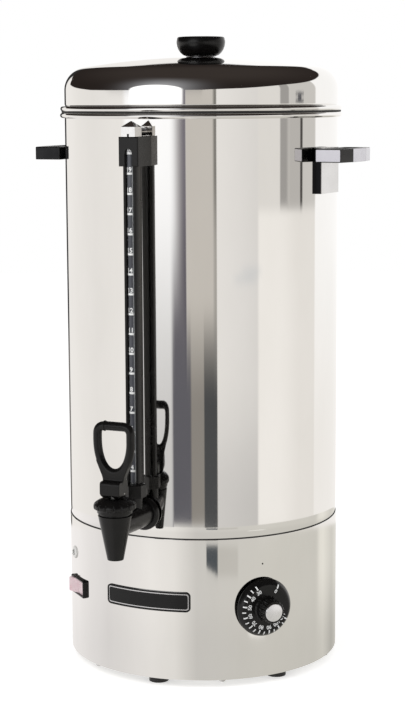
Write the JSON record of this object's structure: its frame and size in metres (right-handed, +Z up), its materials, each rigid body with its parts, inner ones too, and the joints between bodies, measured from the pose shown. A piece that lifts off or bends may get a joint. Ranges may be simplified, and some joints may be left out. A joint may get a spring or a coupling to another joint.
{
  "type": "hot water urn",
  "caption": "Electric hot water urn: tall round tank with a lift-off domed lid, side handles, sight gauge, loop-lever tap and a dial thermostat on the base skirt.",
  "frame": {"origin": "on the urn's axis, in the plane that its six feet stand on", "axes": "+Z up along the urn's axis; the tap and the sight gauge face -Y; the thermostat dial and one handle are on the +X side"},
  "size_m": [0.3516, 0.3705, 0.6212],
  "materials": {
    "tank_steel": "bright polished stainless steel sheet",
    "skirt_steel": "smooth satin light grey",
    "plate_steel": "zinc-plated steel sheet",
    "foot_rubber": "matt black",
    "screw_steel": "zinc-plated",
    "badge_plastic": "bare black plate with a thin silver border",
    "black_plastic": "heat-resistant moulding, soft sheen",
    "element_steel": "heat-tinted stainless steel sheath",
    "brass": "machined",
    "seal_rubber": "moulded seal",
    "cream_plastic": "moulded phenolic",
    "copper_tube": "drawn copper",
    "cutout_plastic": "moulded phenolic",
    "rocker_plastic": "translucent red",
    "pilot_plastic": "white",
    "lens_plastic": "clear domed lens",
    "polished_trim": "polished stainless steel trim",
    "gauge_steel": "polished fitting",
    "stem_plastic": "natural moulded plastic",
    "tube_glass": "clear drawn glass tube"
  },
  "bodies": {
    "urn": {"badge_plate": "badge_plastic", "base_plate": "plate_steel", "base_plate_screws": "screw_steel", "base_skirt": "skirt_steel", "boil_dry_cutout": "cutout_plastic", "bulb_clips": "plate_steel", "cable_gland": "black_plastic", "capillary_tube": "copper_tube", "clip_screw": "screw_steel", "element_fittings": "brass", "element_nuts": "brass", "element_seals": "seal_rubber", "gauge_cap": "gauge_steel", "gauge_clip": "black_plastic", "gauge_guard": "black_plastic", "gauge_nut": "black_plastic", "gauge_seals": "seal_rubber", "gauge_tube": "tube_glass", "gland_nut": "black_plastic", "handle_bracket_left": "tank_steel", "handle_bracket_right": "tank_steel", "handle_inlays_left": "polished_trim", "handle_inlays_right": "polished_trim", "handle_loop_left": "black_plastic", "handle_loop_right": "black_plastic", "handle_screws_left": "screw_steel", "handle_screws_right": "screw_steel", "heating_element": "element_steel", "pilot_bezel": "pilot_plastic", "pilot_lens": "lens_plastic", "rubber_feet": "foot_rubber", "shank_inner_seal": "seal_rubber", "shank_nut": "black_plastic", "shank_seal": "seal_rubber", "switch_housing": "black_plastic", "tank_floor": "tank_steel", "tank_wall": "tank_steel", "tap_body": "black_plastic", "tap_bonnet": "black_plastic", "terminal_block": "cream_plastic", "thermostat_body": "cream_plastic", "thermostat_bulb": "copper_tube", "thermostat_nut": "screw_steel", "vent_nut": "gauge_steel"},
    "lid": {"lid_shell": "tank_steel", "lid_knob": "black_plastic", "knob_screw": "screw_steel"},
    "stem": {"tap_stem": "stem_plastic", "seat_cup": "seal_rubber", "tap_spring": "screw_steel"},
    "lever": {"tap_lever": "black_plastic", "lever_pin": "screw_steel"},
    "dial": {"dial_knob": "black_plastic", "dial_cap": "polished_trim", "thermostat_spindle": "screw_steel"},
    "rocker": {"power_rocker": "rocker_plastic"}
  },
  "joints": [
    {"name": "lid_lift", "type": "slide", "parent": "urn", "child": "lid", "axis": [0, 0, 1], "range_m": [0, 0.15]},
    {"name": "stem_lift", "type": "slide", "parent": "urn", "child": "stem", "axis": [0, 0, 1], "range_m": [0, 0.0032], "deforming": ["tap_spring"]},
    {"name": "lever_pull", "type": "hinge", "parent": "stem", "child": "lever", "pos_m": [0, -0.1975, 0.204], "axis": [1, 0, 0], "range_deg": [0, 40], "stiffness_Nm_per_rad": 0.025, "springref_deg": -51.57},
    {"name": "dial_turn", "type": "hinge", "parent": "urn", "child": "dial", "pos_m": [0.11019, -0.09578, 0.078], "axis": [-0.7547, 0.6561, 0], "range_deg": [-30, 239]},
    {"name": "rocker_tip", "type": "hinge", "parent": "urn", "child": "rocker", "pos_m": [-0.08913, -0.09899, 0.08], "axis": [0, 0, -1], "range_deg": [0, 22]}
  ],
  "couplings": [
    {"joint": "stem_lift", "follows": "lever_pull", "m_per_rad": 0.0045837}
  ]
}
